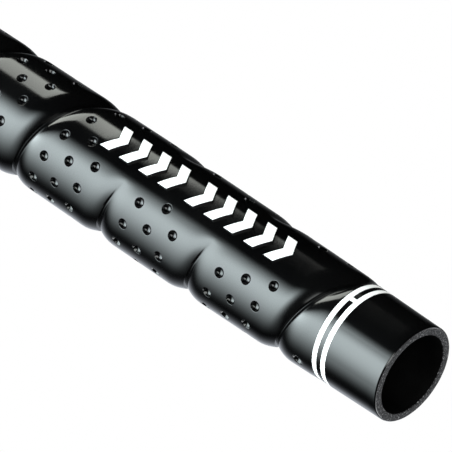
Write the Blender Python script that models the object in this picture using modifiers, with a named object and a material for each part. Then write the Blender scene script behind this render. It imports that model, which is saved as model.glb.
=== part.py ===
"""A slip-on golf grip: a moulded rubber sleeve with a helical wrap relief, a butt cap bonded into its
wide end, two white alignment rings joined by a short bar near its mouth, and nine raised white marks
along the top. The axis is X, the mouth faces +X, the alignment bar is on top (+Z), and the origin is
the middle of the length, on the axis. Everything is in metres."""

import math

import bmesh
import bpy

MM = 0.001

# Driving dimensions
LENGTH = 267.0 * MM
MOUTH_RADIUS = 8.40 * MM
LIP_RADIUS = 8.60 * MM
BORE_MOUTH_RADIUS = 6.95 * MM
BORE_BUTT_RADIUS = 7.60 * MM
CAP_RADIUS = 13.80 * MM
CAP_THICKNESS = 5.0 * MM
PLUG_RADIUS = 9.0 * MM
PLUG_LENGTH = 8.0 * MM
SEAT_RADIUS = 6.60 * MM
SEAT_HEIGHT = 1.2 * MM
VENT_RADIUS = 1.60 * MM
CAP_RIM_RADIUS = 1.60 * MM
DISH_RADIUS = 7.5 * MM
DISH_DEPTH = 0.6 * MM
MOUTH_EDGE = 0.35 * MM
BORE_EDGE = 0.15 * MM
SMALL_EDGE = 0.40 * MM
FLARE_LENGTH = 4.0 * MM
GAP = 0.30 * MM
PAINT_GAP = 0.05 * MM

# Alignment rings: distances from the mouth face
RING_START = 10.65 * MM
RING_WIDTH = 0.95 * MM
RING_SPACING = 1.83 * MM
RING_DEPTH = 0.45 * MM
BAR_WIDTH = 0.80 * MM

# Wrap relief. The crease runs as a left-handed helix along the whole sleeve.
PITCH = 20.13 * MM
CREASE_PHASE = -0.1935
CLIFF_SHARE = 0.016
CLIFF_DROP = 0.52 * MM
ROLL_SHARE = 0.155
ROLL_DROP = 0.50 * MM
FALL_SHARE = 0.185
EDGE_HEIGHT = 0.18 * MM
EDGE_DECAY = 0.52
RELIEF_FADE = 1.7 * MM
CAP_MARGIN = 8.0 * MM
CAP_BLEND = 20.0 * MM

# Smooth strip on top that carries the marks, and the marks themselves
STRIP_ANGLE = 0.025
STRIP_HALF_ANGLE = 0.60
STRIP_FADE = 0.85
STRIP_FIRST_CREASE = 2
STRIP_LAST_CREASE = 3
MARK_COUNT = 9
MARK_FIRST_GROUP = 4
MARK_START = 25.4 * MM
MARK_PITCH = 4.45 * MM
MARK_GROUP_GAP = 1.6 * MM
MARK_HEIGHT = 5.6 * MM
MARK_STROKE = 2.05 * MM
MARK_SWEEP = 1.70 * MM
MARK_OFFSET = 0.30 * MM
MARK_PROUD = 0.35 * MM

# Facets
SLEEVE_SIDES = 20
ROWS_PER_PITCH = 10
FIRST_ROW_SHARE = 0.8
ROUND_SIDES = 48
SHELL_SIDES = 72
SHELL_STEPS = 12
SHELL_MARGIN = 3.0 * MM
PAD_HALF_HEIGHT = 1.5 * MM
CAP_RIM_STEPS = 5
EDGE_MIDPOINT = 0.3
SHARP_ANGLE = 35
MERGE_DISTANCE = 0.01 * MM

# The sleeve's outside behind the rings: distance from the mouth, radius of the plateau
BODY_OUTLINE = [
    (13.4 * MM, 8.65 * MM),
    (22.0 * MM, 8.90 * MM),
    (34.0 * MM, 9.17 * MM),
    (50.0 * MM, 9.40 * MM),
    (76.0 * MM, 9.55 * MM),
    (115.0 * MM, 9.85 * MM),
    (165.0 * MM, 10.50 * MM),
    (215.0 * MM, 11.40 * MM),
    (245.0 * MM, 12.30 * MM),
    (261.7 * MM, 13.55 * MM),
]


def clear_scene():
    for obj in list(bpy.data.objects):
        bpy.data.objects.remove(obj, do_unlink=True)


def smooth(value):
    """0 below 0, 1 above 1, and a smooth step between."""
    value = min(max(value, 0.0), 1.0)
    return value * value * (3.0 - 2.0 * value)


def collection(name):
    made = bpy.data.collections.new(name)
    bpy.context.scene.collection.children.link(made)
    return made


def material(name, colour, roughness, metallic=0.0):
    made = bpy.data.materials.new(name)
    made.use_nodes = True
    shader = made.node_tree.nodes["Principled BSDF"]
    shader.inputs["Base Color"].default_value = (*colour, 1.0)
    shader.inputs["Roughness"].default_value = roughness
    shader.inputs["Metallic"].default_value = metallic
    return made


def x_at(distance):
    """The X of a point this far from the mouth face."""
    return LENGTH / 2 - distance


def body_radius(distance):
    """The plateau radius behind the rings, as a smooth curve through BODY_OUTLINE."""
    points = BODY_OUTLINE
    if distance <= points[0][0]:
        return points[0][1]
    if distance >= points[-1][0]:
        return points[-1][1]
    slopes = [(b[1] - a[1]) / (b[0] - a[0]) for a, b in zip(points, points[1:])]
    tangents = [slopes[0]]
    tangents += [(a + b) / 2 for a, b in zip(slopes, slopes[1:])]
    tangents += [slopes[-1]]
    i = next(k for k in range(len(slopes)) if distance <= points[k + 1][0])
    span = points[i + 1][0] - points[i][0]
    t = (distance - points[i][0]) / span
    start, end = points[i][1], points[i + 1][1]
    return (
        (2 * t**3 - 3 * t**2 + 1) * start
        + (t**3 - 2 * t**2 + t) * span * tangents[i]
        + (3 * t**2 - 2 * t**3) * end
        + (t**3 - t**2) * span * tangents[i + 1]
    )


def crease_coordinate(distance, angle):
    """Whole numbers lie on the crease. The angle is about the axis, from +Z towards +Y."""
    return distance / PITCH + angle / math.tau - CREASE_PHASE


def strip_clearance(coordinate, angle):
    """0 where the smooth strip wipes out the crease, rising to 1 well clear of it."""
    nearest = round(coordinate)
    if not STRIP_FIRST_CREASE <= nearest <= STRIP_LAST_CREASE:
        return 1.0
    away = abs(angle - STRIP_ANGLE) - STRIP_HALF_ANGLE
    return min(max(away / STRIP_FADE, 0.0), 1.0)


def relief(distance, angle):
    """How far the wrap stands above (or, in the crease, below) the plateau radius. Towards the butt the
    crease ends in a short cliff and a rounding, towards the mouth it rises in one long curve."""
    coordinate = crease_coordinate(distance, angle)
    share = coordinate % 1.0
    clear = strip_clearance(coordinate, angle)
    roll_drop = ROLL_DROP * (1.0 - (1.0 - clear) ** 2)
    cliff_drop = CLIFF_DROP * clear**2
    roll = CLIFF_SHARE + ROLL_SHARE
    tail = math.exp(-(1.0 - roll) / EDGE_DECAY)
    edge = tail + (1.0 - tail) * smooth(share / roll)
    if share > roll:
        edge = math.exp(-(share - roll) / EDGE_DECAY)
    roll_part = min(max((share - CLIFF_SHARE) / ROLL_SHARE, 0.0), 1.0)
    upper = roll_drop * (1.0 - roll_part) ** 2
    upper += cliff_drop * (1.0 - smooth(share / CLIFF_SHARE))
    lower_part = min((1.0 - share) / FALL_SHARE, 1.0)
    lower = (roll_drop + cliff_drop) * (1.0 - lower_part) ** 2
    near_ring = smooth((distance - BODY_OUTLINE[0][0]) / RELIEF_FADE)
    near_cap = smooth((LENGTH - CAP_THICKNESS - CAP_MARGIN - distance) / CAP_BLEND)
    return (EDGE_HEIGHT * edge * clear - max(upper, lower)) * near_ring * near_cap


def turned(name, outline, sides, parent_collection):
    """A closed outline of (x, radius) points turned about the X axis, as a plain mesh object."""
    profile = bpy.data.meshes.new(name + "_profile")
    points = [(x, 0.0, radius) for x, radius in outline]
    count = len(points)
    profile.from_pydata(points, [(i, (i + 1) % count) for i in range(count)], [])
    guide = bpy.data.objects.new(name + "_guide", profile)
    parent_collection.objects.link(guide)
    screw = guide.modifiers.new("Screw", "SCREW")
    screw.axis = "X"
    screw.angle = math.tau
    screw.steps = sides
    screw.render_steps = sides
    screw.use_merge_vertices = True
    screw.merge_threshold = MERGE_DISTANCE
    bpy.context.view_layer.update()
    graph = bpy.context.evaluated_depsgraph_get()
    mesh = bpy.data.meshes.new_from_object(guide.evaluated_get(graph))
    bpy.data.objects.remove(guide, do_unlink=True)
    work = bmesh.new()
    work.from_mesh(mesh)
    bmesh.ops.recalc_face_normals(work, faces=work.faces[:])
    work.to_mesh(mesh)
    work.free()
    mesh.shade_smooth()
    mesh.set_sharp_from_angle(angle=math.radians(SHARP_ANGLE))
    mesh.name = name
    made = bpy.data.objects.new(name, mesh)
    parent_collection.objects.link(made)
    return made


def body_rows():
    """Row distances for the relief, a whole number of rows to a pitch and in step with the crease."""
    step = PITCH / ROWS_PER_PITCH
    first = BODY_OUTLINE[0][0] + FIRST_ROW_SHARE * step
    last = LENGTH - CAP_THICKNESS - CAP_MARGIN
    k = math.ceil((first - CREASE_PHASE * PITCH) / step)
    rows = []
    while CREASE_PHASE * PITCH + k * step < last:
        rows.append(CREASE_PHASE * PITCH + k * step)
        k += 1
    return rows


def sleeve_outline():
    """Outside from the mouth to the butt, then back along the counterbore and the bore."""
    sleeve_end = LENGTH - CAP_THICKNESS - GAP
    groove_radius = LIP_RADIUS - RING_DEPTH - PAINT_GAP
    outline = [
        (x_at(0.0), MOUTH_RADIUS - MOUTH_EDGE),
        (x_at(EDGE_MIDPOINT * MOUTH_EDGE), MOUTH_RADIUS - EDGE_MIDPOINT * MOUTH_EDGE),
        (x_at(MOUTH_EDGE), MOUTH_RADIUS),
    ]
    for ring in range(2):
        start = RING_START + ring * RING_SPACING - PAINT_GAP
        end = start + RING_WIDTH + 2 * PAINT_GAP
        outline.append((x_at(start), LIP_RADIUS))
        outline.append((x_at(start), groove_radius))
        outline.append((x_at(end), groove_radius))
        outline.append((x_at(end), LIP_RADIUS))
    outline += [(x_at(row), body_radius(row)) for row in body_rows()]
    flare = sleeve_end - FLARE_LENGTH
    outline.append((x_at(flare), body_radius(flare)))
    outline.append((x_at(sleeve_end), body_radius(sleeve_end)))
    socket_radius = PLUG_RADIUS + GAP
    socket_floor = LENGTH - CAP_THICKNESS - PLUG_LENGTH - GAP
    outline.append((x_at(sleeve_end), socket_radius))
    outline.append((x_at(socket_floor), socket_radius))
    outline.append((x_at(socket_floor), BORE_BUTT_RADIUS))
    outline.append((x_at(LENGTH / 2), (BORE_BUTT_RADIUS + BORE_MOUTH_RADIUS) / 2))
    outline.append((x_at(BORE_EDGE), BORE_MOUTH_RADIUS))
    outline.append((x_at(0.0), BORE_MOUTH_RADIUS + BORE_EDGE))
    return outline


def press_wrap_relief(sleeve):
    """Moves the sleeve's outer points onto the wrap. Every other column of points is half a row off,
    so that a line of points lies along the crease."""
    rows = {round(x_at(row) / MM, 3) for row in body_rows()}
    half_row = PITCH / ROWS_PER_PITCH / 2
    column_angle = math.tau / SLEEVE_SIDES
    for vertex in sleeve.data.vertices:
        radius = math.hypot(vertex.co.y, vertex.co.z)
        if round(vertex.co.x / MM, 3) not in rows or radius < MOUTH_RADIUS:
            continue
        angle = math.atan2(vertex.co.y, vertex.co.z)
        column = round(angle / column_angle)
        distance = LENGTH / 2 - vertex.co.x - (half_row if column % 2 else 0.0)
        radius = body_radius(distance) + relief(distance, angle)
        vertex.co = (x_at(distance), radius * math.sin(angle), radius * math.cos(angle))


def make_cutter(name, size, location, cutters):
    bpy.ops.mesh.primitive_cube_add(size=1.0, location=location)
    cutter = bpy.context.object
    cutter.name = name
    cutter.scale = size
    for owner in list(cutter.users_collection):
        owner.objects.unlink(cutter)
    cutters.objects.link(cutter)
    cutter.hide_render = True
    cutter.display_type = "WIRE"
    return cutter


def make_sleeve(parts, cutters, rubber):
    sleeve = turned("grip_sleeve", sleeve_outline(), SLEEVE_SIDES, parts)
    press_wrap_relief(sleeve)
    sleeve.data.materials.append(rubber)
    land = RING_SPACING - RING_WIDTH
    slot_depth = RING_DEPTH + PAINT_GAP
    slot = make_cutter(
        "bar_slot",
        (land + PAINT_GAP, BAR_WIDTH + 2 * PAINT_GAP, 2 * slot_depth),
        (x_at(RING_START + RING_WIDTH + land / 2), 0.0, LIP_RADIUS),
        cutters,
    )
    cut = sleeve.modifiers.new("Bar slot", "BOOLEAN")
    cut.operation = "DIFFERENCE"
    cut.solver = "EXACT"
    cut.object = slot
    return sleeve


def make_ring(name, start, parts, paint):
    """A band of paint that fills a groove flush with the lip."""
    inner = LIP_RADIUS - RING_DEPTH
    outline = [
        (x_at(start), inner),
        (x_at(start), LIP_RADIUS),
        (x_at(start + RING_WIDTH), LIP_RADIUS),
        (x_at(start + RING_WIDTH), inner),
    ]
    ring = turned(name, outline, ROUND_SIDES, parts)
    ring.data.materials.append(paint)
    return ring


def make_alignment_bar(parts, paint):
    """The short bar on top that joins the two rings."""
    land = RING_SPACING - RING_WIDTH
    bpy.ops.mesh.primitive_cube_add(size=1.0)
    bar = bpy.context.object
    bar.name = "alignment_bar"
    for owner in list(bar.users_collection):
        owner.objects.unlink(bar)
    parts.objects.link(bar)
    for vertex in bar.data.vertices:
        vertex.co.x *= land - 2 * PAINT_GAP
        vertex.co.y *= BAR_WIDTH
        vertex.co.z *= RING_DEPTH
    bar.location = (
        x_at(RING_START + RING_WIDTH + land / 2),
        0.0,
        LIP_RADIUS - RING_DEPTH / 2,
    )
    bar.data.materials.append(paint)
    return bar


def make_cap(parts, rubber):
    """A disc with a rounded rim and a shallow dish, a plug bonded into the sleeve, a seat for the end
    of the shaft and a vent hole through all of it."""
    inner_face = LENGTH - CAP_THICKNESS
    plug_face = inner_face - PLUG_LENGTH
    seat_face = plug_face - SEAT_HEIGHT
    outline = [
        (x_at(inner_face), PLUG_RADIUS),
        (x_at(inner_face), CAP_RADIUS - SMALL_EDGE),
        (x_at(inner_face + SMALL_EDGE), CAP_RADIUS),
    ]
    for i in range(CAP_RIM_STEPS + 1):
        turn = i / CAP_RIM_STEPS * math.pi / 2
        distance = LENGTH - CAP_RIM_RADIUS * (1 - math.sin(turn))
        outline.append((x_at(distance), CAP_RADIUS - CAP_RIM_RADIUS * (1 - math.cos(turn))))
    outline += [
        (x_at(LENGTH), DISH_RADIUS),
        (x_at(LENGTH - DISH_DEPTH), DISH_RADIUS - DISH_DEPTH),
        (x_at(LENGTH - DISH_DEPTH), VENT_RADIUS),
        (x_at(seat_face), VENT_RADIUS),
        (x_at(seat_face), SEAT_RADIUS),
        (x_at(plug_face), BORE_BUTT_RADIUS - GAP),
        (x_at(plug_face), PLUG_RADIUS - SMALL_EDGE),
        (x_at(plug_face + SMALL_EDGE), PLUG_RADIUS),
    ]
    cap = turned("butt_cap", outline, ROUND_SIDES, parts)
    cap.data.materials.append(rubber)
    return cap


def mark_start(index):
    """Distance from the mouth to the tip of a mark, counted from the mouth."""
    gap = MARK_GROUP_GAP if index >= MARK_COUNT - MARK_FIRST_GROUP else 0.0
    return MARK_START + index * MARK_PITCH + gap


def chevron_outline(tip):
    """Corners of a chevron whose point faces the mouth, as (x, y), going round once."""
    half = MARK_HEIGHT / 2
    back = tip + MARK_SWEEP
    return [
        (x_at(tip), MARK_OFFSET),
        (x_at(back), MARK_OFFSET + half),
        (x_at(back + MARK_STROKE), MARK_OFFSET + half),
        (x_at(tip + MARK_STROKE), MARK_OFFSET),
        (x_at(back + MARK_STROKE), MARK_OFFSET - half),
        (x_at(back), MARK_OFFSET - half),
    ]


def make_mark_shell(cutters):
    """A thin turned shell just above the sleeve, which every mark is trimmed to."""
    first = MARK_START - SHELL_MARGIN
    last = mark_start(MARK_COUNT - 1) + MARK_PITCH + SHELL_MARGIN
    stops = [first + (last - first) * i / SHELL_STEPS for i in range(SHELL_STEPS + 1)]
    outside = [(x_at(s), body_radius(s) + PAINT_GAP + MARK_PROUD) for s in stops]
    inside = [(x_at(s), body_radius(s) + PAINT_GAP) for s in reversed(stops)]
    shell = turned("mark_shell", outside + inside, SHELL_SIDES, cutters)
    shell.hide_render = True
    shell.display_type = "WIRE"
    return shell


def make_mark(index, shell, parts, paint):
    """A chevron cut as a flat pad and trimmed to the shell, so that it hugs the round sleeve."""
    curve = bpy.data.curves.new("chevron", "CURVE")
    curve.dimensions = "2D"
    curve.fill_mode = "BOTH"
    curve.extrude = PAD_HALF_HEIGHT
    corners = chevron_outline(mark_start(index))
    spline = curve.splines.new("POLY")
    spline.points.add(len(corners) - 1)
    for point, corner in zip(spline.points, corners):
        point.co = (*corner, 0.0, 1.0)
    spline.use_cyclic_u = True
    flat = bpy.data.objects.new("chevron", curve)
    flat.location.z = body_radius(mark_start(index))
    parts.objects.link(flat)
    bpy.context.view_layer.update()
    graph = bpy.context.evaluated_depsgraph_get()
    mesh = bpy.data.meshes.new_from_object(flat.evaluated_get(graph))
    placed = flat.matrix_world.copy()
    bpy.data.objects.remove(flat, do_unlink=True)
    work = bmesh.new()
    work.from_mesh(mesh)
    bmesh.ops.remove_doubles(work, verts=work.verts[:], dist=MERGE_DISTANCE)
    bmesh.ops.recalc_face_normals(work, faces=work.faces[:])
    work.to_mesh(mesh)
    work.free()
    mark = bpy.data.objects.new(f"label_mark_{index + 1}", mesh)
    mark.matrix_world = placed
    mark.data.materials.clear()
    mark.data.materials.append(paint)
    parts.objects.link(mark)
    trim = mark.modifiers.new("Trim to the sleeve", "BOOLEAN")
    trim.operation = "INTERSECT"
    trim.solver = "EXACT"
    trim.object = shell
    return mark


def main():
    clear_scene()
    parts = collection("golf_grip")
    cutters = collection("cutters")
    cutters.hide_render = True
    rubber = material("sleeve rubber", (0.012, 0.012, 0.013), 0.22)
    cap_rubber = material("cap rubber", (0.015, 0.015, 0.016), 0.38)
    paint = material("white paint", (0.86, 0.86, 0.84), 0.35)
    make_sleeve(parts, cutters, rubber)
    make_ring("front_ring", RING_START, parts, paint)
    make_ring("rear_ring", RING_START + RING_SPACING, parts, paint)
    make_alignment_bar(parts, paint)
    make_cap(parts, cap_rubber)
    shell = make_mark_shell(cutters)
    for index in range(MARK_COUNT):
        make_mark(index, shell, parts, paint)


main()
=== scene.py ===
import math

import bpy
from mathutils import Matrix, Vector


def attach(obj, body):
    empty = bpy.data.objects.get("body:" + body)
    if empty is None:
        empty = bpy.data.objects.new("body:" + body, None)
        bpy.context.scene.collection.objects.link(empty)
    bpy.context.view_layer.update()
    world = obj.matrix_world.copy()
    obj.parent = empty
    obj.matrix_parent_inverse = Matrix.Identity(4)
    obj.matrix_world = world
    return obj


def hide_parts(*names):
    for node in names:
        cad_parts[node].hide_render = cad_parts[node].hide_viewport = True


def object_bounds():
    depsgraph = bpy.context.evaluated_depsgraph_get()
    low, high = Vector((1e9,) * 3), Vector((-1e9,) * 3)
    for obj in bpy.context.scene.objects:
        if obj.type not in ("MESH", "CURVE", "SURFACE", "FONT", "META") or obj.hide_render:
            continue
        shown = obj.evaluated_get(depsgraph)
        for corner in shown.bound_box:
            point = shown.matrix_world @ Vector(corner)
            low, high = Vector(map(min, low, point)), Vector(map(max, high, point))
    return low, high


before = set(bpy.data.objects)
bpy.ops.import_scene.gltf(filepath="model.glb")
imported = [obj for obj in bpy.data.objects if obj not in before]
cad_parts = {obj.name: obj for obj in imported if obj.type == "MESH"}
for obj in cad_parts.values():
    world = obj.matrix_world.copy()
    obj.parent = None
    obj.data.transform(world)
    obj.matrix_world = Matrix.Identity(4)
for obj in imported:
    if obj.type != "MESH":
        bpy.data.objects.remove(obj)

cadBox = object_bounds()
mm = 0.001
fullTurn = math.tau
gripLength = cadBox[1][0] - cadBox[0][0]
mouthX = cadBox[1][0]
floorZ = cadBox[0][2]
quarterTurn = math.pi / 2
weld = 0.01 * mm
fineWeld = 0.0001 * mm  # for small pieces with small edges
cutThreshold = 0.0005 * mm
endReach = 0.5 * mm  # how near to an open end its edges lie
paintCorner = 50  # degrees; sharper corners of the paint are rounded


def xAt(distance):  # distance is measured from the mouth face
    return mouthX - distance


def smooth(value):  # 0 below 0, 1 above 1, soft between
    value = min(max(value, 0.0), 1.0)
    return value * value * (3.0 - 2.0 * value)


# selecting, carrying loops along and finishing a piece

def deselectAll():
    if bpy.context.mode != "OBJECT":
        bpy.ops.object.mode_set(mode="OBJECT")
    bpy.ops.object.select_all(action="DESELECT")


def namePiece(name):
    piece = bpy.context.object
    piece.name = name
    piece.data.name = name
    return piece


def pickVerts(piece, test):  # leaves edit mode on, with the vertices that pass the test selected
    bpy.ops.object.mode_set(mode="EDIT")
    bpy.ops.mesh.select_mode(type="VERT")
    bpy.ops.mesh.select_all(action="DESELECT")
    bpy.ops.object.mode_set(mode="OBJECT")
    for vertex in piece.data.vertices:
        vertex.select = test(vertex.co)
    bpy.ops.object.mode_set(mode="EDIT")


def pickOpenEnd(piece, x):  # leaves edit mode on, with the open edges nearest to x selected
    bpy.ops.object.mode_set(mode="EDIT")
    bpy.ops.mesh.select_mode(type="EDGE")
    bpy.ops.mesh.select_all(action="DESELECT")
    bpy.ops.mesh.select_non_manifold(
        use_wire=False, use_boundary=True, use_multi_face=False, use_non_contiguous=False, use_verts=False
    )
    bpy.ops.object.mode_set(mode="OBJECT")
    for edge in piece.data.edges:
        near = all(abs(piece.data.vertices[i].co.x - x) < endReach for i in edge.vertices)
        if edge.select and not near:
            edge.select = False
    for vertex in piece.data.vertices:
        vertex.select = False
    for edge in piece.data.edges:
        if edge.select:
            for i in edge.vertices:
                piece.data.vertices[i].select = True
    bpy.ops.object.mode_set(mode="EDIT")


def runLoop(start, outline):  # carries the selected ring of edges through (distance, radius) stops
    distance, radius = start
    for nextDistance, nextRadius in outline:
        step = (distance - nextDistance, 0.0, 0.0)
        bpy.ops.mesh.extrude_region_move(TRANSFORM_OT_translate={"value": step})
        share = nextRadius / radius
        centre = (xAt(nextDistance), 0.0, 0.0)
        bpy.ops.transform.resize(value=(1.0, share, share), center_override=centre)
        distance, radius = nextDistance, nextRadius


def applyModifiers(piece):
    deselectAll()
    piece.select_set(True)
    bpy.context.view_layer.objects.active = piece
    for modifier in list(piece.modifiers):
        bpy.ops.object.modifier_apply(modifier=modifier.name)


def tidyNormals(piece, mergeDistance):
    deselectAll()
    piece.select_set(True)
    bpy.context.view_layer.objects.active = piece
    bpy.ops.object.mode_set(mode="EDIT")
    bpy.ops.mesh.select_all(action="SELECT")
    bpy.ops.mesh.remove_doubles(threshold=mergeDistance)
    bpy.ops.mesh.normals_make_consistent(inside=False)
    bpy.ops.object.mode_set(mode="OBJECT")


def finishPiece(piece, sharpAngle, node):
    deselectAll()
    piece.select_set(True)
    bpy.context.view_layer.objects.active = piece
    bpy.ops.object.transform_apply(location=True, rotation=True, scale=True)
    bpy.ops.object.shade_smooth_by_angle(angle=math.radians(sharpAngle))
    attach(piece, "root")
    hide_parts(node)


def turnOutline(name, sides, outline):  # turns (distance, radius) stops about the axis, first stop to last
    deselectAll()
    distance, radius = outline[0]
    bpy.ops.mesh.primitive_circle_add(
        vertices=sides,
        radius=radius,
        location=(xAt(distance), 0.0, 0.0),
        rotation=(0.0, quarterTurn, 0.0),
    )
    piece = namePiece(name)
    bpy.ops.object.transform_apply(location=True, rotation=True, scale=True)
    bpy.ops.object.mode_set(mode="EDIT")
    bpy.ops.mesh.select_all(action="SELECT")
    bpy.ops.mesh.select_mode(type="EDGE")
    runLoop(outline[0], outline[1:])
    bpy.ops.object.mode_set(mode="OBJECT")
    return piece


def thickenAndRound(piece, thickness, edge, segments):  # wall below the sheet, then its edges rounded
    wall = piece.modifiers.new("wall", "SOLIDIFY")
    wall.thickness = thickness
    wall.offset = -1.0
    rounding = piece.modifiers.new("rounding", "BEVEL")
    rounding.width = edge
    rounding.segments = segments
    rounding.limit_method = "ANGLE"
    rounding.angle_limit = math.radians(paintCorner)
    applyModifiers(piece)
    tidyNormals(piece, fineWeld)


# the wrapped shape that the sleeve, its dimples and the raised marks share

wrap = {
    "pitch": 20.13 * mm,
    "phase": -0.1935,
    "floorShare": 0.007,  # narrow bottom of the crease
    "cliffShare": 0.009,  # steep face of the overlap, facing the mouth
    "cliffDrop": 0.42 * mm,
    "rollShare": 0.155,  # rounding of the upper turn above the cliff
    "rollDrop": 0.60 * mm,
    "rollFade": 3,  # how quickly roll and cliff come back beside the label strip
    "cliffFade": 1.5,
    "fallShare": 0.185,  # how the lower turn sinks under the overlap
    "edgeHeight": 0.18 * mm,  # how far the overlap stands up
    "edgeDecay": 0.52,
    "start": 13.4 * mm,
    "startFade": 1.7 * mm,
    "endMargin": 13.0 * mm,
    "endFade": 20.0 * mm,
    "stripAngle": 0.025,  # the smooth label strip, in radians
    "stripHalfAngle": 0.56,
    "stripFade": 0.85,
    "stripCreases": (2, 3),  # the creases it fills
    "stripBlend": 0.32,  # in turns, at both ends of the strip
}
bodyStops = [  # distance from the mouth and radius
    (13.4 * mm, 8.65 * mm),
    (22.0 * mm, 8.90 * mm),
    (34.0 * mm, 9.17 * mm),
    (50.0 * mm, 9.40 * mm),
    (76.0 * mm, 9.55 * mm),
    (115.0 * mm, 9.85 * mm),
    (165.0 * mm, 10.50 * mm),
    (215.0 * mm, 11.40 * mm),
    (245.0 * mm, 12.30 * mm),
    (261.7 * mm, 13.55 * mm),
]
bodySlopes = [(b[1] - a[1]) / (b[0] - a[0]) for a, b in zip(bodyStops, bodyStops[1:])]
bodyTangents = [bodySlopes[0]]
bodyTangents += [(a + b) / 2 for a, b in zip(bodySlopes, bodySlopes[1:])]
bodyTangents += [bodySlopes[-1]]


def bodyRadius(distance):
    if distance <= bodyStops[0][0]:
        return bodyStops[0][1]
    if distance >= bodyStops[-1][0]:
        return bodyStops[-1][1]
    i = next(k for k in range(len(bodySlopes)) if distance <= bodyStops[k + 1][0])
    span = bodyStops[i + 1][0] - bodyStops[i][0]
    t = (distance - bodyStops[i][0]) / span
    startPart = (2 * t**3 - 3 * t**2 + 1) * bodyStops[i][1]
    startPart += (t**3 - 2 * t**2 + t) * span * bodyTangents[i]
    endPart = (3 * t**2 - 2 * t**3) * bodyStops[i + 1][1]
    endPart += (t**3 - t**2) * span * bodyTangents[i + 1]
    return startPart + endPart


def stripShare(turnCount, angle):  # 0 where the smooth label strip fills the crease, 1 clear of it
    first, last = wrap["stripCreases"]
    cover = smooth((turnCount - first + 0.5) / wrap["stripBlend"])
    cover *= smooth((last + 0.5 - turnCount) / wrap["stripBlend"])
    away = abs(angle - wrap["stripAngle"]) - wrap["stripHalfAngle"]
    return 1.0 - cover * (1.0 - min(max(away / wrap["stripFade"], 0.0), 1.0))


def turnsAt(distance, angle):  # whole numbers lie on the crease; angle goes from the top towards +Y
    return distance / wrap["pitch"] + angle / fullTurn - wrap["phase"]


def skinRadius(distance, angle):
    turnCount = turnsAt(distance, angle)
    share = turnCount % 1.0
    clear = stripShare(turnCount, angle)
    rollDrop = wrap["rollDrop"] * (1.0 - (1.0 - clear) ** wrap["rollFade"])
    cliffDrop = wrap["cliffDrop"] * clear ** wrap["cliffFade"]
    cliffTop = wrap["floorShare"] + wrap["cliffShare"]
    roll = cliffTop + wrap["rollShare"]
    tail = math.exp(-(1.0 - roll) / wrap["edgeDecay"])
    edge = tail + (1.0 - tail) * smooth(share / roll)
    if share > roll:
        edge = math.exp(-(share - roll) / wrap["edgeDecay"])
    rollPart = min(max((share - cliffTop) / wrap["rollShare"], 0.0), 1.0)
    upper = rollDrop * (1.0 - rollPart) ** 2
    upper += cliffDrop * (1.0 - smooth((share - wrap["floorShare"]) / wrap["cliffShare"]))
    lowerPart = min((1.0 - share) / wrap["fallShare"], 1.0)
    lower = (rollDrop + cliffDrop) * (1.0 - lowerPart) ** 2
    fade = smooth((distance - wrap["start"]) / wrap["startFade"])
    fade *= smooth((gripLength - wrap["endMargin"] - distance) / wrap["endFade"])
    relief = wrap["edgeHeight"] * edge * clear - max(upper, lower)
    return bodyRadius(distance) + relief * fade


def onSkin(distance, angle, height):
    radius = skinRadius(distance, angle) + height
    return Vector((xAt(distance), radius * math.sin(angle), radius * math.cos(angle)))


# looks

def addInput(tree, name, kind, value):
    socket = tree.interface.new_socket(name=name, in_out="INPUT", socket_type=kind)
    socket.default_value = value


def addOutput(tree, name, kind):
    tree.interface.new_socket(name=name, in_out="OUTPUT", socket_type=kind)


def addNode(tree, kind, place, **settings):
    node = tree.nodes.new(kind)
    node.location = place
    for name, value in settings.items():
        setattr(node, name, value)
    return node


def join(tree, source, output, target, value):
    tree.links.new(source.outputs[output], target.inputs[value])


grainNoise = {
    "detail": 3.0,
    "roughness": 0.55,
    "patchDetail": 4.0,
    "patchDistortion": 0.4,
}


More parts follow.
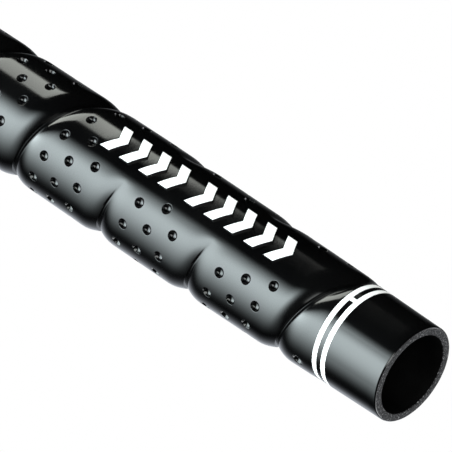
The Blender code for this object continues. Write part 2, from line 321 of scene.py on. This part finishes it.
def makeGrainGroup():  # moulded grain: fine pebbling for the height, slow patches for colour and gloss
    tree = bpy.data.node_groups.new("mouldedGrain", "ShaderNodeTree")
    addInput(tree, "Grain Scale", "NodeSocketFloat", 3200.0)
    addInput(tree, "Patch Scale", "NodeSocketFloat", 60.0)
    addInput(tree, "Patch Low", "NodeSocketFloat", 0.35)
    addInput(tree, "Patch High", "NodeSocketFloat", 0.7)
    addInput(tree, "Low Roughness", "NodeSocketFloat", 0.1)
    addInput(tree, "High Roughness", "NodeSocketFloat", 0.2)
    addInput(tree, "Dark Color", "NodeSocketColor", (0.002, 0.002, 0.002, 1.0))
    addInput(tree, "Worn Color", "NodeSocketColor", (0.004, 0.004, 0.004, 1.0))
    addOutput(tree, "Color", "NodeSocketColor")
    addOutput(tree, "Roughness", "NodeSocketFloat")
    addOutput(tree, "Height", "NodeSocketFloat")
    given = addNode(tree, "NodeGroupInput", (-900, 0))
    result = addNode(tree, "NodeGroupOutput", (700, 0))
    place = addNode(tree, "ShaderNodeTexCoord", (-900, -300))
    grain = addNode(tree, "ShaderNodeTexNoise", (-600, 200))
    grain.inputs["Detail"].default_value = grainNoise["detail"]
    grain.inputs["Roughness"].default_value = grainNoise["roughness"]
    patch = addNode(tree, "ShaderNodeTexNoise", (-600, -100))
    patch.inputs["Detail"].default_value = grainNoise["patchDetail"]
    patch.inputs["Distortion"].default_value = grainNoise["patchDistortion"]
    join(tree, given, "Grain Scale", grain, "Scale")
    join(tree, given, "Patch Scale", patch, "Scale")
    join(tree, place, "Object", grain, "Vector")
    join(tree, place, "Object", patch, "Vector")
    spread = addNode(tree, "ShaderNodeMapRange", (-300, -100))
    join(tree, given, "Patch Low", spread, "From Min")
    join(tree, given, "Patch High", spread, "From Max")
    join(tree, patch, "Fac", spread, "Value")
    rough = addNode(tree, "ShaderNodeMix", (0, 50), data_type="FLOAT")
    tree.links.new(spread.outputs["Result"], rough.inputs[0])
    tree.links.new(given.outputs["Low Roughness"], rough.inputs[2])
    tree.links.new(given.outputs["High Roughness"], rough.inputs[3])
    tint = addNode(tree, "ShaderNodeMix", (0, -250), data_type="RGBA")
    tree.links.new(spread.outputs["Result"], tint.inputs[0])
    tree.links.new(given.outputs["Dark Color"], tint.inputs[6])
    tree.links.new(given.outputs["Worn Color"], tint.inputs[7])
    tree.links.new(tint.outputs[2], result.inputs["Color"])
    tree.links.new(rough.outputs[0], result.inputs["Roughness"])
    join(tree, grain, "Fac", result, "Height")
    return tree


grainGroup = makeGrainGroup()


def grainMaterial(name, look):
    material = bpy.data.materials.new(name)
    material.use_nodes = True
    tree = material.node_tree
    shader = tree.nodes["Principled BSDF"]
    shader.inputs["IOR"].default_value = look["ior"]
    grain = addNode(tree, "ShaderNodeGroup", (-700, 0), node_tree=grainGroup)
    grain.inputs["Grain Scale"].default_value = 1.0 / look["grainSize"]
    grain.inputs["Patch Scale"].default_value = 1.0 / look["patchSize"]
    grain.inputs["Patch Low"].default_value = look["patches"][0]
    grain.inputs["Patch High"].default_value = look["patches"][1]
    grain.inputs["Low Roughness"].default_value = look["roughness"][0]
    grain.inputs["High Roughness"].default_value = look["roughness"][1]
    grain.inputs["Dark Color"].default_value = (*look["dark"], 1.0)
    grain.inputs["Worn Color"].default_value = (*look["worn"], 1.0)
    bump = addNode(tree, "ShaderNodeBump", (-350, -250))
    bump.inputs["Strength"].default_value = look["bumpStrength"]
    bump.inputs["Distance"].default_value = look["bumpHeight"]
    join(tree, grain, "Height", bump, "Height")
    join(tree, grain, "Color", shader, "Base Color")
    join(tree, grain, "Roughness", shader, "Roughness")
    join(tree, bump, "Normal", shader, "Normal")
    return material


sleeveRubber = grainMaterial("sleeveRubber", {
    "ior": 1.5,
    "grainSize": 0.28 * mm,
    "patchSize": 14.0 * mm,
    "patches": (0.35, 0.70),
    "roughness": (0.09, 0.13),
    "dark": (0.0012, 0.0012, 0.0013),
    "worn": (0.0022, 0.0022, 0.0023),
    "bumpStrength": 0.5,
    "bumpHeight": 0.006 * mm,
})
cutRubber = grainMaterial("cutRubber", {
    "ior": 1.12,
    "grainSize": 0.16 * mm,
    "patchSize": 0.30 * mm,
    "patches": (0.54, 0.72),
    "roughness": (0.45, 0.70),
    "dark": (0.014, 0.014, 0.015),
    "worn": (0.240, 0.240, 0.250),
    "bumpStrength": 1.0,
    "bumpHeight": 0.10 * mm,
})
boreRubber = grainMaterial("boreRubber", {
    "ior": 1.12,
    "grainSize": 0.35 * mm,
    "patchSize": 6.0 * mm,
    "patches": (0.35, 0.70),
    "roughness": (0.55, 0.75),
    "dark": (0.0015, 0.0015, 0.0016),
    "worn": (0.0030, 0.0030, 0.0031),
    "bumpStrength": 0.6,
    "bumpHeight": 0.03 * mm,
})
capRubber = grainMaterial("capRubber", {
    "ior": 1.5,
    "grainSize": 0.22 * mm,
    "patchSize": 5.0 * mm,
    "patches": (0.35, 0.70),
    "roughness": (0.28, 0.42),
    "dark": (0.0035, 0.0035, 0.0037),
    "worn": (0.0080, 0.0080, 0.0084),
    "bumpStrength": 0.5,
    "bumpHeight": 0.02 * mm,
})
whitePaint = grainMaterial("whitePaint", {
    "ior": 1.45,
    "grainSize": 0.30 * mm,
    "patchSize": 1.6 * mm,
    "patches": (0.35, 0.70),
    "roughness": (0.30, 0.42),
    "dark": (0.80, 0.81, 0.81),
    "worn": (0.88, 0.88, 0.87),
    "bumpStrength": 0.25,
    "bumpHeight": 0.012 * mm,
})
print("looks ready")


# sleeve: one pitch of skin is wound into a helix, then its front end is carried into lip, rim and bore

sleeve = {
    "sides": 120,
    "rowsPerPitch": 30,
    "crowding": 0.8,  # how far rows gather at the crease
    "turns": 15,
    "ringStarts": (10.65 * mm, 12.48 * mm),
    "ringWidth": 0.95 * mm,
    "ringDepth": 0.45 * mm,
    "lipRadius": 8.60 * mm,
    "lipSteps": 7,
    "mouthRadius": 8.40 * mm,
    "rimEdge": 0.35 * mm,
    "rimSteps": 4,
    "rimMiddle": 7.7 * mm,
    "rimPaintDepth": 0.12 * mm,
    "boreMouth": 6.95 * mm,
    "boreButt": 7.60 * mm,
    "boreEdge": 0.15 * mm,
    "boreEdgeMiddle": (0.05 * mm, 0.04 * mm),
    "boreStops": (2.0 * mm, 8.0 * mm, 30.0 * mm, 80.0 * mm, 140.0 * mm, 200.0 * mm),
    "borePaintReach": 0.1 * mm,
    "socketRadius": 9.3 * mm,
    "socketFloor": 253.7 * mm,
    "end": 261.9 * mm,
    "sharpAngle": 34,
}


def wrapShares():  # rows through one pitch, close together at the crease
    count = sleeve["rowsPerPitch"]
    even = [i / count for i in range(count + 1)]
    bend = sleeve["crowding"] / fullTurn
    return [t - bend * math.sin(fullTurn * t) for t in even]


# dimples: copies of one plug, in rows along the helix, cut the round pits out of the skin

dimple = {
    "profile": (  # height over the skin and radius
        (0.10 * mm, 1.06 * mm),
        (0.0, 0.97 * mm),
        (-0.03 * mm, 0.915 * mm),
        (-0.12 * mm, 0.87 * mm),
        (-0.40 * mm, 0.80 * mm),
        (-0.62 * mm, 0.58 * mm),
        (-0.74 * mm, 0.28 * mm),
    ),
    "depth": 0.77 * mm,
    "sides": 14,
    "rowsPerTurn": 12.5,
    "rowReach": 120,  # rows tried on both sides of the first
    "columns": 3,
    "first": 113.68 * mm,
    "columnStep": -4.504 * mm,
    "risePerRadian": -3.2046 * mm,
    "columnTurn": 0.1716,
    "turnOffset": 0.353,
    "zero": -0.553,
    "frontLimit": 16.6 * mm,
    "backLimit": 240.0 * mm,
    "stripLimit": 67.6 * mm,  # none on the label strip up to here
    "stripCentre": 0.03,
    "stripReach": 0.53,
    "skinReach": 0.012 * mm,  # a vertex this near to the skin counts as on it
    "probe": 0.02 * mm,
    "shadeFrom": 0.19,  # share of a turn where the dimples lie
    "shadeTo": 0.83,
}


def skinNormal(distance, angle):
    reach = dimple["probe"]
    turn = reach / bodyRadius(distance)
    along = onSkin(distance + reach, angle, 0.0) - onSkin(distance - reach, angle, 0.0)
    around = onSkin(distance, angle + turn, 0.0) - onSkin(distance, angle - turn, 0.0)
    return around.cross(along).normalized()


def evenShading(piece):  # the skin between the pits is shaded by its true shape, not by the cut faces
    mesh = piece.data
    shading = [corner.vector.copy() for corner in mesh.corner_normals]
    trueNormals = {}
    for vertex in mesh.vertices:
        distance = mouthX - vertex.co.x
        angle = math.atan2(vertex.co.y, vertex.co.z)
        if not dimple["shadeFrom"] < turnsAt(distance, angle) % 1.0 < dimple["shadeTo"]:
            continue
        if not dimple["frontLimit"] < distance < dimple["backLimit"]:
            continue
        radius = math.hypot(vertex.co.y, vertex.co.z)
        if abs(radius - skinRadius(distance, angle)) < dimple["skinReach"]:
            trueNormals[vertex.index] = skinNormal(distance, angle)
    for face in mesh.polygons:
        if all(i in trueNormals for i in face.vertices):
            for corner in face.loop_indices:
                shading[corner] = trueNormals[mesh.loops[corner].vertex_index]
    mesh.normals_split_custom_set(shading)


def makePlug():
    deselectAll()
    profile = dimple["profile"]
    bpy.ops.mesh.primitive_circle_add(
        vertices=dimple["sides"],
        radius=profile[0][1],
        fill_type="TRIFAN",
        location=(0.0, 0.0, profile[0][0]),
    )
    plug = namePiece("plug")
    bpy.ops.object.transform_apply(location=True, rotation=True, scale=True)
    bpy.ops.object.mode_set(mode="EDIT")
    bpy.ops.mesh.select_mode(type="EDGE")
    bpy.ops.mesh.select_all(action="DESELECT")
    bpy.ops.mesh.select_non_manifold()
    for above, below in zip(profile, profile[1:]):
        step = (0.0, 0.0, below[0] - above[0])
        bpy.ops.mesh.extrude_region_move(TRANSFORM_OT_translate={"value": step})
        share = below[1] / above[1]
        bpy.ops.transform.resize(value=(share, share, 1.0), center_override=(0.0, 0.0, 0.0))
    step = (0.0, 0.0, -dimple["depth"] - profile[-1][0])
    bpy.ops.mesh.extrude_region_move(TRANSFORM_OT_translate={"value": step})
    bpy.ops.mesh.merge(type="CENTER")
    bpy.ops.object.mode_set(mode="OBJECT")
    tidyNormals(plug, fineWeld)
    return plug


def dimplePlaces():
    step = fullTurn / dimple["rowsPerTurn"]
    places = []
    for column in range(dimple["columns"]):
        for row in range(-dimple["rowReach"], dimple["rowReach"]):
            turn = dimple["turnOffset"] + (row + 0.5) * step + dimple["columnTurn"] * column
            distance = dimple["first"] + dimple["columnStep"] * column
            distance += dimple["risePerRadian"] * turn
            angle = (turn + dimple["zero"] + math.pi) % fullTurn - math.pi
            onStrip = distance < dimple["stripLimit"]
            onStrip = onStrip and abs(angle - dimple["stripCentre"]) < dimple["stripReach"]
            if dimple["frontLimit"] < distance < dimple["backLimit"] and not onStrip:
                places.append((distance, angle))
    return places


def punchDimples(piece):
    plug = makePlug()
    copies = []
    for distance, angle in dimplePlaces():
        copy = plug.copy()
        copy.data = plug.data.copy()
        radius = skinRadius(distance, angle)
        for vertex in copy.data.vertices:
            along, around, height = vertex.co
            vertex.co = onSkin(distance - along, angle + around / radius, height)
        bpy.context.scene.collection.objects.link(copy)
        copies.append(copy)
    bpy.data.objects.remove(plug, do_unlink=True)
    deselectAll()
    for copy in copies:
        copy.select_set(True)
    bpy.context.view_layer.objects.active = copies[0]
    bpy.ops.object.join()
    plugs = namePiece("plugs")
    tidyNormals(plugs, fineWeld)
    punch = piece.modifiers.new("punch", "BOOLEAN")
    punch.operation = "DIFFERENCE"
    punch.solver = "EXACT"
    punch.object = plugs
    applyModifiers(piece)
    bpy.data.objects.remove(plugs, do_unlink=True)
    print("dimples ready:", len(copies))


def makeSleeve():
    deselectAll()
    startDistance = (wrap["phase"] - 1.0) * wrap["pitch"]
    startRadius = bodyStops[0][1]
    bpy.ops.mesh.primitive_plane_add(size=mm, location=(xAt(startDistance), 0.0, startRadius))
    piece = namePiece("wrapSleeve")
    bpy.ops.object.transform_apply(location=True, rotation=True, scale=True)
    keep = piece.data.vertices[0].co.copy()
    pickVerts(piece, lambda co: (co - keep).length > weld)
    bpy.ops.mesh.delete(type="VERT")
    bpy.ops.mesh.select_all(action="SELECT")
    home = Vector((xAt(startDistance), 0.0, startRadius)) - keep
    bpy.ops.transform.translate(value=home)
    shares = wrapShares()
    for now, following in zip(shares, shares[1:]):
        step = ((now - following) * wrap["pitch"], 0.0, 0.0)
        bpy.ops.mesh.extrude_region_move(TRANSFORM_OT_translate={"value": step})
    bpy.ops.object.mode_set(mode="OBJECT")
    screw = piece.modifiers.new("wind", "SCREW")
    screw.axis = "X"
    screw.angle = fullTurn
    screw.screw_offset = -wrap["pitch"]
    screw.iterations = sleeve["turns"]
    screw.steps = sleeve["sides"]
    screw.render_steps = sleeve["sides"]
    applyModifiers(piece)
    tidyNormals(piece, weld)
    for vertex in piece.data.vertices:
        angle = math.atan2(vertex.co.y, vertex.co.z)
        vertex.co = onSkin(mouthX - vertex.co.x, angle, 0.0)
    cutSleeve(piece)
    carryLip(piece)
    closeButt(piece)
    tidyNormals(piece, weld)
    punchDimples(piece)
    paintSleeve(piece)
    finishPiece(piece, sleeve["sharpAngle"], "grip_sleeve")
    evenShading(piece)


def cutSleeve(piece):
    rearEdge = sleeve["ringStarts"][1] + sleeve["ringWidth"]
    bpy.ops.object.mode_set(mode="EDIT")
    bpy.ops.mesh.select_all(action="SELECT")
    bpy.ops.mesh.bisect(
        plane_co=(xAt(rearEdge), 0.0, 0.0),
        plane_no=(1.0, 0.0, 0.0),
        clear_outer=True,
        threshold=cutThreshold,
    )
    bpy.ops.mesh.select_all(action="SELECT")
    bpy.ops.mesh.bisect(
        plane_co=(xAt(sleeve["end"]), 0.0, 0.0),
        plane_no=(1.0, 0.0, 0.0),
        clear_inner=True,
        threshold=cutThreshold,
    )
    bpy.ops.object.mode_set(mode="OBJECT")


def lipOutline():
    floorRadius = sleeve["lipRadius"] - sleeve["ringDepth"]
    lip = sleeve["lipRadius"]
    front, rear = sleeve["ringStarts"]
    width = sleeve["ringWidth"]
    edge = sleeve["rimEdge"]
    outline = [(rear + width, floorRadius), (rear, floorRadius), (rear, lip)]
    outline += [(front + width, lip), (front + width, floorRadius)]
    outline += [(front, floorRadius), (front, lip)]
    for step in range(1, sleeve["lipSteps"]):  # the lip tapers a little towards the mouth
        share = step / sleeve["lipSteps"]
        distance = front + (edge - front) * share
        outline.append((distance, lip + (sleeve["mouthRadius"] - lip) * share))
    for step in range(sleeve["rimSteps"] + 1):
        sink = math.radians(90.0 * step / sleeve["rimSteps"])
        distance = edge * (1.0 - math.sin(sink))
        outline.append((distance, sleeve["mouthRadius"] - edge * (1.0 - math.cos(sink))))
    bore = sleeve["boreMouth"]
    outline += [(0.0, sleeve["rimMiddle"]), (0.0, bore + sleeve["boreEdge"])]
    middleDepth, middleRise = sleeve["boreEdgeMiddle"]
    outline += [(middleDepth, bore + middleRise), (sleeve["boreEdge"], bore)]
    for distance in sleeve["boreStops"]:
        share = distance / sleeve["socketFloor"]
        outline.append((distance, bore + (sleeve["boreButt"] - bore) * share))
    outline += [(sleeve["socketFloor"], sleeve["boreButt"])]
    outline += [(sleeve["socketFloor"], sleeve["socketRadius"])]
    outline += [(sleeve["end"], sleeve["socketRadius"])]
    return outline


def carryLip(piece):
    rearEdge = sleeve["ringStarts"][1] + sleeve["ringWidth"]
    pickOpenEnd(piece, xAt(rearEdge))
    runLoop((rearEdge, bodyRadius(rearEdge)), lipOutline())
    bpy.ops.object.mode_set(mode="OBJECT")


def closeButt(piece):
    pickOpenEnd(piece, xAt(sleeve["end"]))
    bpy.ops.mesh.bridge_edge_loops()
    bpy.ops.object.mode_set(mode="OBJECT")


def paintSleeve(piece):
    piece.data.materials.append(sleeveRubber)
    piece.data.materials.append(cutRubber)
    piece.data.materials.append(boreRubber)
    rimRadius = sleeve["mouthRadius"] - 0.5 * sleeve["rimEdge"]
    boreRadius = sleeve["boreButt"] + sleeve["borePaintReach"]
    for face in piece.data.polygons:
        distance = mouthX - face.center.x
        radius = math.hypot(face.center.y, face.center.z)
        if distance < sleeve["rimPaintDepth"] and radius < rimRadius:
            face.material_index = 1
        elif radius < boreRadius:
            face.material_index = 2


makeSleeve()
print("sleeve ready")


# paint: two rings, the bar between them, and the raised marks

ring = {
    "sides": 120,
    "edge": 0.03 * mm,
    "edgeMiddle": 0.3,  # where the rounded edge passes, as a share of its size
    "clear": 0.01 * mm,
    "weld": 0.001 * mm,
    "sharpAngle": 40,
}


def makeRing(name, start, node):
    lip = sleeve["lipRadius"]
    inner = lip - sleeve["ringDepth"]
    edge = ring["edge"]
    middle = ring["edgeMiddle"] * edge
    front = start + ring["clear"]
    rear = start + sleeve["ringWidth"] - ring["clear"]
    piece = turnOutline(name, ring["sides"], [
        (front, inner),
        (front, lip - edge),
        (front + middle, lip - middle),
        (front + edge, lip),
        (rear - edge, lip),
        (rear - middle, lip - middle),
        (rear, lip - edge),
        (rear, inner),
        (front, inner),
    ])
    tidyNormals(piece, ring["weld"])
    piece.data.materials.append(whitePaint)
    finishPiece(piece, ring["sharpAngle"], node)


makeRing("frontPaintRing", sleeve["ringStarts"][0], "front_ring")
makeRing("rearPaintRing", sleeve["ringStarts"][1], "rear_ring")

bar = {
    "width": 0.80 * mm,
    "thickness": 0.45 * mm,
    "proud": 0.012 * mm,
    "overlap": 0.05 * mm,  # how far each end reaches into its ring
    "cuts": (4, 9),
    "edge": 0.03 * mm,
    "edgeSteps": 2,
    "sharpAngle": 40,
}


def makeBar():
    deselectAll()
    front = sleeve["ringStarts"][0] + sleeve["ringWidth"]
    rear = sleeve["ringStarts"][1]
    bpy.ops.mesh.primitive_grid_add(
        x_subdivisions=bar["cuts"][0],
        y_subdivisions=bar["cuts"][1],
        size=1.0,
        location=(xAt((front + rear) / 2), 0.0, 0.0),
    )
    piece = namePiece("alignmentBarPaint")
    piece.scale = (rear - front + 2 * bar["overlap"], bar["width"], 1.0)
    bpy.ops.object.transform_apply(location=True, rotation=True, scale=True)
    top = sleeve["lipRadius"] + bar["proud"]
    for vertex in piece.data.vertices:
        vertex.co.z = math.sqrt(top**2 - vertex.co.y**2)
    thickenAndRound(piece, bar["thickness"], bar["edge"], bar["edgeSteps"])
    piece.data.materials.append(whitePaint)
    finishPiece(piece, bar["sharpAngle"], "alignment_bar")


makeBar()

mark = {
    "count": 9,
    "firstGroup": 5,  # marks before the gap, counted from the mouth
    "start": 25.4 * mm,
    "pitch": 4.45 * mm,
    "groupGap": 1.6 * mm,
    "height": 5.6 * mm,
    "stroke": 2.05 * mm,
    "sweep": 1.70 * mm,
    "offset": 0.30 * mm,
    "proud": 0.40 * mm,
    "root": 0.06 * mm,  # how far each mark goes into the sleeve
    "cuts": (6, 20),
    "edge": 0.07 * mm,
    "edgeSteps": 3,
    "whiteFacing": 0.35,  # faces that look outwards at least this much are white
    "whiteHeight": 0.5,  # and stand at least this share of the height
    "sharpAngle": 40,
}


def markTip(index):
    gap = mark["groupGap"] if index >= mark["firstGroup"] else 0.0
    return mark["start"] + index * mark["pitch"] + gap


def makeMark(index):
    deselectAll()
    lengthCuts, widthCuts = mark["cuts"]
    bpy.ops.mesh.primitive_grid_add(x_subdivisions=lengthCuts, y_subdivisions=widthCuts, size=2.0)
    piece = namePiece("labelMark" + str(index + 1))
    tip = markTip(index)
    for vertex in piece.data.vertices:
        across = vertex.co.y
        along = 0.5 * (1.0 - vertex.co.x)
        distance = tip + mark["sweep"] * abs(across) + mark["stroke"] * along
        side = mark["offset"] + 0.5 * mark["height"] * across
        radius = bodyRadius(distance) + mark["proud"]
        vertex.co = (xAt(distance), side, math.sqrt(radius**2 - side**2))
    thickenAndRound(piece, mark["proud"] + mark["root"], mark["edge"], mark["edgeSteps"])
    piece.data.materials.append(whitePaint)
    piece.data.materials.append(sleeveRubber)
    for face in piece.data.polygons:
        radial = Vector((0.0, face.center.y, face.center.z)).normalized()
        height = math.hypot(face.center.y, face.center.z) - bodyRadius(mouthX - face.center.x)
        facing = face.normal.dot(radial) > mark["whiteFacing"]
        white = facing and height > mark["whiteHeight"] * mark["proud"]
        face.material_index = 0 if white else 1
    finishPiece(piece, mark["sharpAngle"], "label_mark_" + str(index + 1))


for markIndex in range(mark["count"]):
    makeMark(markIndex)
print("paint ready")


# butt cap

cap = {
    "sides": 120,
    "innerFace": 262.0 * mm,
    "radius": 13.8 * mm,
    "rim": 1.6 * mm,
    "rimSteps": 8,
    "smallEdge": 0.35 * mm,
    "smallEdgeSteps": 3,
    "dishRadius": 7.5 * mm,
    "dishDepth": 0.6 * mm,
    "dishSteps": 6,
    "dishShoulder": 0.25 * mm,
    "vent": 1.6 * mm,
    "ventEdge": 0.25 * mm,
    "ventEdgeMiddle": 0.07 * mm,
    "seatFace": 252.8 * mm,
    "seatRadius": 6.6 * mm,
    "seatFoot": 7.3 * mm,
    "plugFace": 254.0 * mm,
    "plugRadius": 9.0 * mm,
    "sharpAngle": 34,
}


def capOutline():  # seat, plug, inner face, rim, dish and vent
    edge = cap["smallEdge"]
    outline = [(cap["seatFace"], cap["seatRadius"]), (cap["plugFace"], cap["seatFoot"])]
    outline += [(cap["plugFace"], cap["plugRadius"] - edge), (cap["plugFace"] + edge, cap["plugRadius"])]
    outline += [(cap["innerFace"], cap["plugRadius"])]
    for step in range(cap["smallEdgeSteps"] + 1):
        angle = math.radians(90.0 * step / cap["smallEdgeSteps"])
        distance = cap["innerFace"] + edge * (1.0 - math.cos(angle))
        outline.append((distance, cap["radius"] - edge * (1.0 - math.sin(angle))))
    for step in range(cap["rimSteps"] + 1):
        angle = math.radians(90.0 * step / cap["rimSteps"])
        distance = gripLength - cap["rim"] * (1.0 - math.sin(angle))
        outline.append((distance, cap["radius"] - cap["rim"] * (1.0 - math.cos(angle))))
    outline += [(gripLength, cap["dishRadius"] + cap["dishShoulder"])]
    depth = cap["dishDepth"]
    for step in range(1, cap["dishSteps"] + 1):
        share = step / cap["dishSteps"]
        outline.append((gripLength - depth * smooth(share), cap["dishRadius"] - depth * share))
    dishFloor = gripLength - depth
    middle = cap["ventEdgeMiddle"]
    outline += [(dishFloor, cap["vent"] + cap["ventEdge"]), (dishFloor - middle, cap["vent"] + middle)]
    outline += [(dishFloor - cap["ventEdge"], cap["vent"]), (cap["seatFace"], cap["vent"])]
    outline += [(cap["seatFace"], cap["seatRadius"])]
    return outline


def makeCap():
    piece = turnOutline("buttCapRubber", cap["sides"], capOutline())
    tidyNormals(piece, weld)
    piece.data.materials.append(capRubber)
    finishPiece(piece, cap["sharpAngle"], "butt_cap")


makeCap()
print("cap ready")


# lit table, studio light and camera

studio = {
    "tableSize": 8.0,
    "tableGlow": 1.0,
    "tableWhite": 0.0,
    "tableRoughness": 0.9,
    "backdrop": 1.0,
    "fill": 0.5,
    "slantX": (-0.575, -0.5),  # a slanted box leans over between these places along X
    # each box: angles round the grip's axis from the top towards +Y, and how far along X it reaches
    "boxes": {
        "key": {
            "level": 11.0, "rise": (208, 308), "fall": (308, 346), "power": 1.8,
            "alongX": (0.10, -0.25), "tint": (0.86, 0.98, 1.0), "slant": 0.0, "mirror": False,
        },
        "strip": {
            "level": 5.0, "rise": (17, 22), "fall": (53, 58), "power": 1.0,
            "alongX": (-0.48, -0.58), "tint": (0.96, 1.0, 0.93), "slant": 44.0, "mirror": False,
        },
        "lowGlow": {
            "level": 0.28, "rise": (100, 150), "fall": (165, 205), "power": 1.0,
            "alongX": (0.6, 0.1), "tint": (0.93, 0.97, 1.0), "slant": 0.0, "mirror": False,
        },
        "underGlow": {
            "level": 0.60, "rise": (140, 160), "fall": (170, 214), "power": 1.0,
            "alongX": (0.6, 0.1), "tint": (0.84, 0.90, 1.0), "slant": 0.0, "mirror": False,
        },
        "frontUpper": {
            "level": 5.0, "rise": (306, 318), "fall": (338, 350), "power": 1.0,
            "alongX": (-0.20, -0.45), "tint": (0.95, 1.0, 0.97), "slant": 0.0, "mirror": True,
        },
        "frontLower": {
            "level": 5.0, "rise": (90, 120), "fall": (190, 215), "power": 1.0,
            "alongX": (-0.20, -0.45), "tint": (0.95, 0.98, 1.0), "slant": 0.0, "mirror": True,
        },
    },
}


def makeTable():
    deselectAll()
    bpy.ops.mesh.primitive_plane_add(size=studio["tableSize"], location=(0.0, 0.0, floorZ))
    table = namePiece("lightTable")
    material = bpy.data.materials.new("tableSurface")
    material.use_nodes = True
    tree = material.node_tree
    shader = tree.nodes["Principled BSDF"]
    shader.inputs["Base Color"].default_value = (*[studio["tableWhite"]] * 3, 1.0)
    shader.inputs["Roughness"].default_value = studio["tableRoughness"]
    shader.inputs["Specular IOR Level"].default_value = 0.0
    shader.inputs["Emission Color"].default_value = (1.0, 1.0, 1.0, 1.0)
    shader.inputs["Emission Strength"].default_value = studio["tableGlow"]
    table.data.materials.append(material)
    table.visible_glossy = False


def ramp(tree, source, start, end, place):
    node = addNode(tree, "ShaderNodeMapRange", place, interpolation_type="SMOOTHSTEP")
    node.inputs["From Min"].default_value = start
    node.inputs["From Max"].default_value = end
    tree.links.new(source, node.inputs["Value"])
    return node.outputs["Result"]


def maths(tree, operation, first, second, place):
    node = addNode(tree, "ShaderNodeMath", place, operation=operation)
    for socket, value in zip(node.inputs, (first, second)):
        if isinstance(value, (int, float)):
            socket.default_value = value
        else:
            tree.links.new(value, socket)
    return node.outputs[0]


def fallRamp(tree, source, start, end, place):  # 1 before start, 0 after end
    return maths(tree, "SUBTRACT", 1.0, ramp(tree, source, start, end, place), place)


def boxLight(tree, box, split, whole, y):  # colour that one box sends from each direction
    lean = addNode(tree, "ShaderNodeMapRange", (-750, y))
    lean.inputs["From Min"].default_value = studio["slantX"][0]
    lean.inputs["From Max"].default_value = studio["slantX"][1]
    lean.inputs["To Max"].default_value = box["slant"]
    along = split.outputs["X"]
    tree.links.new(along, lean.inputs["Value"])
    leaned = maths(tree, "SUBTRACT", whole, lean.outputs["Result"], (-680, y))
    rise = ramp(tree, leaned, *box["rise"], (-600, y))
    rise = maths(tree, "POWER", rise, box["power"], (-450, y))
    fall = fallRamp(tree, whole, *box["fall"], (-600, y - 150))
    if box["mirror"]:
        along = maths(tree, "MULTIPLY", along, -1.0, (-600, y - 250))
    near, far = box["alongX"]
    reach = fallRamp(tree, along, far, near, (-450, y - 150))
    lit = maths(tree, "MULTIPLY", rise, fall, (-300, y))
    lit = maths(tree, "MULTIPLY", lit, reach, (-150, y))
    lit = maths(tree, "MULTIPLY", lit, box["level"], (0, y))
    tint = addNode(tree, "ShaderNodeVectorMath", (150, y), operation="SCALE")
    tint.inputs[0].default_value = box["tint"]
    tree.links.new(lit, tint.inputs["Scale"])
    return tint.outputs[0]


def addVectors(tree, first, second, place):
    add = addNode(tree, "ShaderNodeVectorMath", place, operation="ADD")
    tree.links.new(first, add.inputs[0])
    tree.links.new(second, add.inputs[1])
    return add.outputs[0]


def makeWorld():
    world = bpy.data.worlds.new("studio")
    bpy.context.scene.world = world
    world.use_nodes = True
    tree = world.node_tree
    tree.nodes.clear()
    place = addNode(tree, "ShaderNodeTexCoord", (-1600, 0))
    split = addNode(tree, "ShaderNodeSeparateXYZ", (-1400, 0))
    join(tree, place, "Generated", split, "Vector")
    turn = maths(tree, "ARCTAN2", split.outputs["Y"], split.outputs["Z"], (-1200, 0))
    degrees = maths(tree, "DEGREES", turn, 0.0, (-1000, 0))
    whole = maths(tree, "FLOORED_MODULO", degrees, 360.0, (-800, 0))
    parts = [
        boxLight(tree, box, split, whole, -300 * index)
        for index, box in enumerate(studio["boxes"].values())
    ]
    total = parts[0]
    for index, part in enumerate(parts[1:], 1):
        total = addVectors(tree, total, part, (300, -300 * index))
    path = addNode(tree, "ShaderNodeLightPath", (200, 300))
    fill = maths(tree, "MULTIPLY", path.outputs["Is Diffuse Ray"], studio["fill"], (350, 200))
    filled = addVectors(tree, total, fill, (400, 0))
    light = addNode(tree, "ShaderNodeBackground", (500, 0))
    tree.links.new(filled, light.inputs["Color"])
    backdrop = addNode(tree, "ShaderNodeBackground", (500, -200))
    backdrop.inputs["Color"].default_value = (1.0, 1.0, 1.0, 1.0)
    backdrop.inputs["Strength"].default_value = studio["backdrop"]
    mix = addNode(tree, "ShaderNodeMixShader", (750, 0))
    tree.links.new(path.outputs["Is Camera Ray"], mix.inputs[0])
    tree.links.new(light.outputs[0], mix.inputs[1])
    tree.links.new(backdrop.outputs[0], mix.inputs[2])
    output = addNode(tree, "ShaderNodeOutputWorld", (950, 0))
    tree.links.new(mix.outputs[0], output.inputs["Surface"])


cameraPlace = {
    "aim": (0.0899, 0.0027, 0.0017),
    "distance": 0.6408,
    "azimuth": 50.33,
    "elevation": 45.59,
    "roll": -7.16,
    "lens": 318.6,
    "sensor": 36.0,
}


def makeCamera():
    data = bpy.data.cameras.new("camera")
    data.lens = cameraPlace["lens"]
    data.sensor_width = cameraPlace["sensor"]
    camera = bpy.data.objects.new("camera", data)
    bpy.context.scene.collection.objects.link(camera)
    azimuth = math.radians(cameraPlace["azimuth"])
    tilt = math.radians(90.0 - cameraPlace["elevation"])
    turned = Matrix.Rotation(azimuth, 4, "Z") @ Matrix.Rotation(tilt, 4, "X")
    back = turned @ Vector((0.0, 0.0, 1.0))
    spot = Vector(cameraPlace["aim"]) + back * cameraPlace["distance"]
    roll = Matrix.Rotation(math.radians(cameraPlace["roll"]), 4, "Z")
    camera.matrix_world = Matrix.Translation(spot) @ turned @ roll
    bpy.context.scene.camera = camera


makeTable()
makeWorld()
makeCamera()
bpy.context.scene.view_settings.view_transform = "Standard"
print("studio ready")
